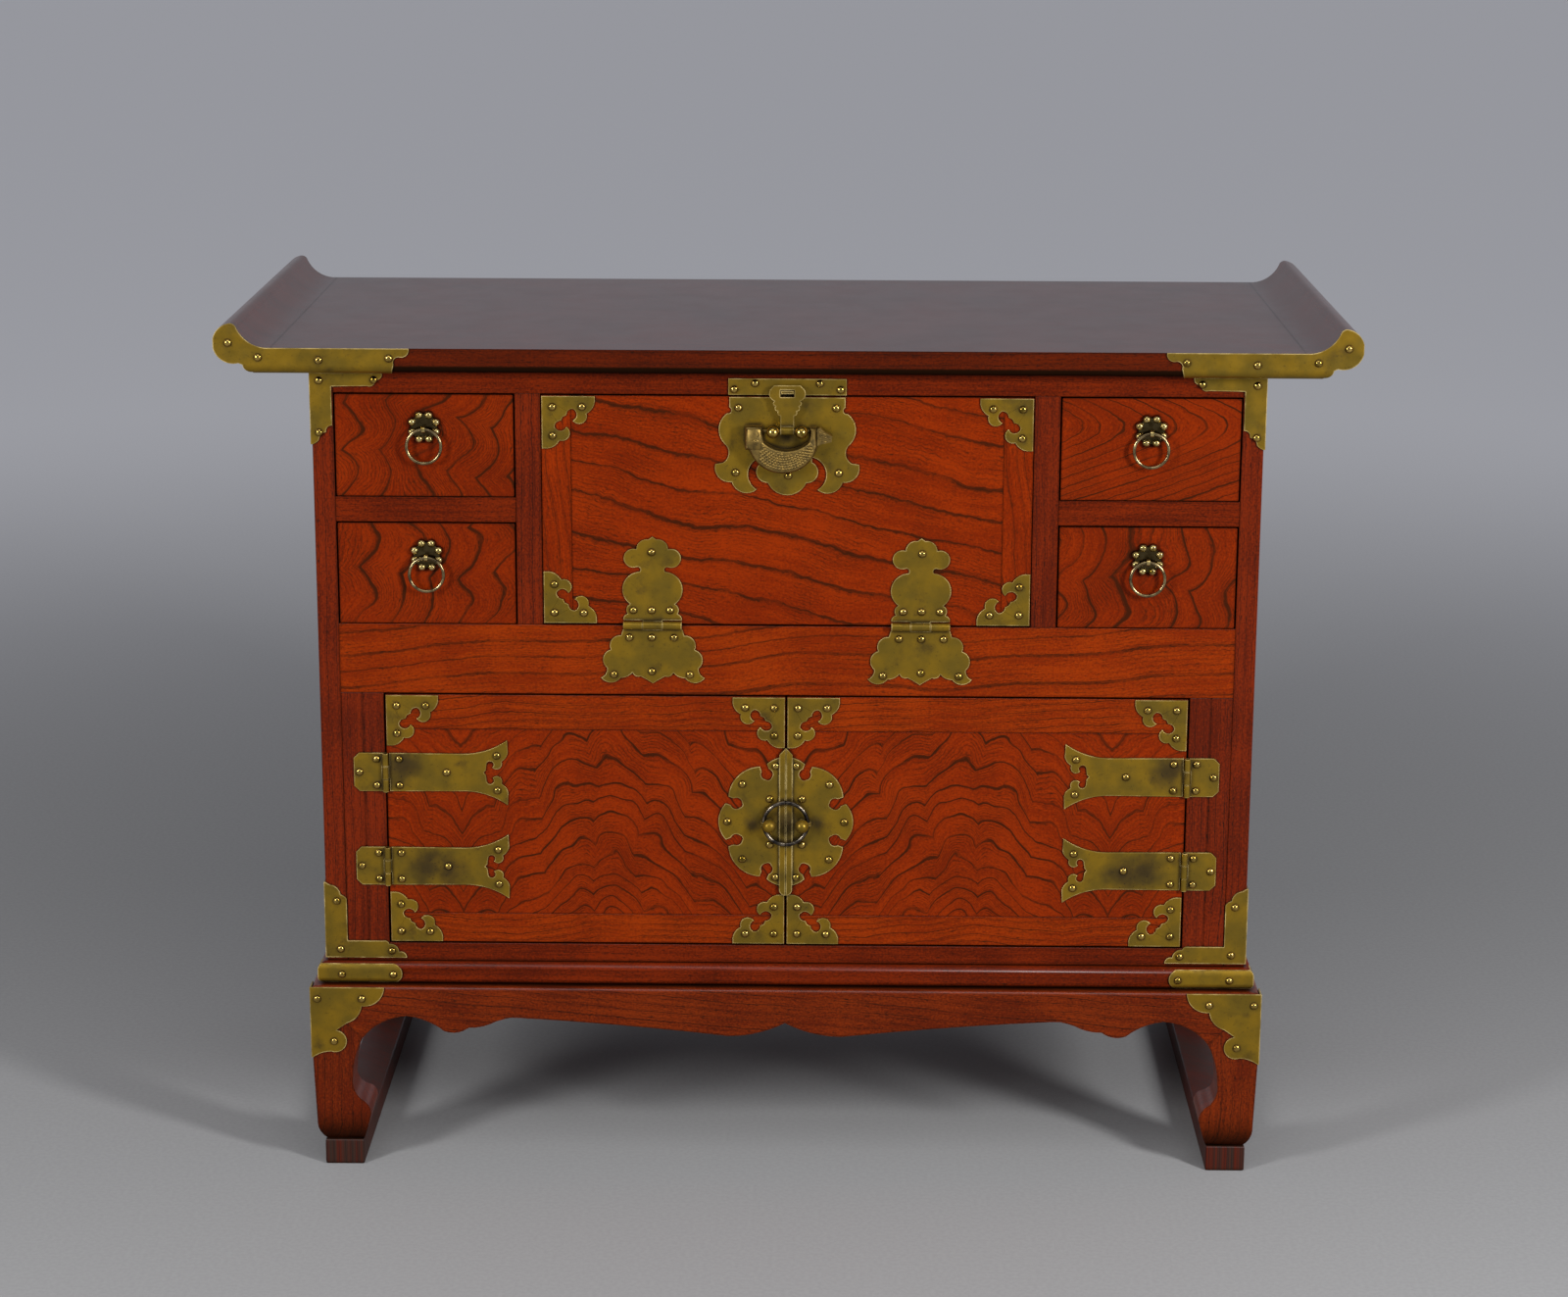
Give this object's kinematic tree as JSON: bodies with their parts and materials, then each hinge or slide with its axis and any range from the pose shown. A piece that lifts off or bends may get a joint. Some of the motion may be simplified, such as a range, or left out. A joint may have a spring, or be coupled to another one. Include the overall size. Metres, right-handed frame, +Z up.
{
  "type": "low cabinet with drawers",
  "caption": "Low lacquered cabinet in the Korean style with a scroll-ended top, small drawers beside a drop flap, paired doors, brass plates, a fish padlock and a sled stand.",
  "frame": {"origin": "centre of the footprint of the cabinet's box, on the floor", "axes": "+X to the right seen from the front, +Y from the front to the back, +Z up"},
  "size_m": [1.003, 0.4332, 0.7886],
  "materials": {
    "top_lacquer": "glossy dark red-brown lacquer",
    "frame_lacquer": "glossy red-brown lacquer",
    "figured_lacquer": "glossy red-orange lacquer over wavy grain",
    "stand_lacquer": "glossy red-brown lacquer",
    "worn_wood": "worn dark lacquer",
    "plain_wood": "plain planed wood",
    "aged_brass": "aged sheet brass with darker patina",
    "grey_bronze": "dull grey-brown antique metal",
    "dark_ring": "blackened, bright where it is handled"
  },
  "bodies": {
    "carcass": {"top_panel": "top_lacquer", "scroll_ends": "top_lacquer", "scroll_caps": "aged_brass", "corner_posts": "frame_lacquer", "side_panels": "figured_lacquer", "back_panel": "plain_wood", "side_and_rear_rails": "frame_lacquer", "front_rails": "frame_lacquer", "middle_rail": "figured_lacquer", "door_stiles": "frame_lacquer", "inner_boards": "plain_wood", "drawer_rails": "frame_lacquer", "base_moulding": "frame_lacquer", "front_apron": "stand_lacquer", "side_and_rear_aprons": "stand_lacquer", "legs": "stand_lacquer", "sled_bars": "worn_wood", "corner_brackets": "aged_brass", "stand_plates": "aged_brass", "flap_hinge_fixed_leaves": "aged_brass", "door_hinge_fixed_leaves": "aged_brass", "hinge_pins": "aged_brass", "lock_top_plate": "aged_brass"},
    "flap": {"flap_panel": "figured_lacquer", "flap_cleats": "frame_lacquer", "flap_corner_plates": "aged_brass", "flap_hinge_leaves": "aged_brass", "lock_plate": "aged_brass", "lock_staples": "aged_brass"},
    "hasp": {"hasp": "grey_bronze"},
    "fish_padlock": {"fish_padlock": "grey_bronze"},
    "padlock_bolt": {"padlock_bolt": "grey_bronze"},
    "left_door": {"left_door_panel": "figured_lacquer", "left_door_rails": "frame_lacquer", "left_door_corner_plates": "aged_brass", "left_door_hinge_straps": "aged_brass", "left_door_ring_plate": "aged_brass"},
    "left_half_ring": {"left_door_half_ring": "dark_ring"},
    "right_door": {"right_door_panel": "figured_lacquer", "right_door_rails": "frame_lacquer", "right_door_corner_plates": "aged_brass", "right_door_hinge_straps": "aged_brass", "right_door_ring_plate": "aged_brass"},
    "right_half_ring": {"right_door_half_ring": "dark_ring"},
    "lower_left_drawer": {"lower_left_drawer_front": "figured_lacquer", "lower_left_drawer_box": "plain_wood", "lower_left_drawer_pull": "aged_brass"},
    "lower_left_drawer_ring": {"lower_left_drawer_ring": "aged_brass"},
    "lower_right_drawer": {"lower_right_drawer_front": "figured_lacquer", "lower_right_drawer_box": "plain_wood", "lower_right_drawer_pull": "aged_brass"},
    "lower_right_drawer_ring": {"lower_right_drawer_ring": "aged_brass"},
    "upper_left_drawer": {"upper_left_drawer_front": "figured_lacquer", "upper_left_drawer_box": "plain_wood", "upper_left_drawer_pull": "aged_brass"},
    "upper_left_drawer_ring": {"upper_left_drawer_ring": "aged_brass"},
    "upper_right_drawer": {"upper_right_drawer_front": "figured_lacquer", "upper_right_drawer_box": "plain_wood", "upper_right_drawer_pull": "aged_brass"},
    "upper_right_drawer_ring": {"upper_right_drawer_ring": "aged_brass"}
  },
  "joints": [
    {"name": "flap_hinge", "type": "hinge", "parent": "carcass", "child": "flap", "pos_m": [0, -0.1993, 0.51575], "axis": [1, 0, 0], "range_deg": [0, 90]},
    {"name": "hasp_hinge", "type": "hinge", "parent": "flap", "child": "hasp", "pos_m": [0, -0.20465, 0.694], "axis": [1, 0, 0], "range_deg": [0, 90]},
    {"name": "padlock_swing", "type": "hinge", "parent": "flap", "child": "fish_padlock", "pos_m": [0, -0.20465, 0.694], "axis": [-1, 0, 0], "range_deg": [0, 60]},
    {"name": "padlock_bolt_slide", "type": "slide", "parent": "fish_padlock", "child": "padlock_bolt", "axis": [1, 0, 0], "range_m": [0, 0.05]},
    {"name": "left_door_hinge", "type": "hinge", "parent": "carcass", "child": "left_door", "pos_m": [-0.362, -0.1984, 0.3326], "axis": [0, 0, -1], "range_deg": [0, 150]},
    {"name": "left_half_ring_hinge", "type": "hinge", "parent": "left_door", "child": "left_half_ring", "pos_m": [-0.0198, -0.20185, 0.3326], "axis": [0, 0, -1], "range_deg": [0, 120]},
    {"name": "right_door_hinge", "type": "hinge", "parent": "carcass", "child": "right_door", "pos_m": [0.362, -0.1984, 0.3326], "axis": [0, 0, 1], "range_deg": [0, 150]},
    {"name": "right_half_ring_hinge", "type": "hinge", "parent": "right_door", "child": "right_half_ring", "pos_m": [0.0198, -0.20185, 0.3326], "axis": [0, 0, 1], "range_deg": [0, 120]},
    {"name": "lower_left_drawer_slide", "type": "slide", "parent": "carcass", "child": "lower_left_drawer", "axis": [0, -1, 0], "range_m": [0, 0.28]},
    {"name": "lower_left_drawer_ring_swing", "type": "hinge", "parent": "lower_left_drawer", "child": "lower_left_drawer_ring", "pos_m": [-0.32075, -0.20225, 0.57693], "axis": [-1, 0, 0], "range_deg": [0, 90]},
    {"name": "lower_right_drawer_slide", "type": "slide", "parent": "carcass", "child": "lower_right_drawer", "axis": [0, -1, 0], "range_m": [0, 0.28]},
    {"name": "lower_right_drawer_ring_swing", "type": "hinge", "parent": "lower_right_drawer", "child": "lower_right_drawer_ring", "pos_m": [0.32075, -0.20225, 0.57693], "axis": [-1, 0, 0], "range_deg": [0, 90]},
    {"name": "upper_left_drawer_slide", "type": "slide", "parent": "carcass", "child": "upper_left_drawer", "axis": [0, -1, 0], "range_m": [0, 0.28]},
    {"name": "upper_left_drawer_ring_swing", "type": "hinge", "parent": "upper_left_drawer", "child": "upper_left_drawer_ring", "pos_m": [-0.32075, -0.20225, 0.69288], "axis": [-1, 0, 0], "range_deg": [0, 90]},
    {"name": "upper_right_drawer_slide", "type": "slide", "parent": "carcass", "child": "upper_right_drawer", "axis": [0, -1, 0], "range_m": [0, 0.28]},
    {"name": "upper_right_drawer_ring_swing", "type": "hinge", "parent": "upper_right_drawer", "child": "upper_right_drawer_ring", "pos_m": [0.32075, -0.20225, 0.69288], "axis": [-1, 0, 0], "range_deg": [0, 90]}
  ]
}
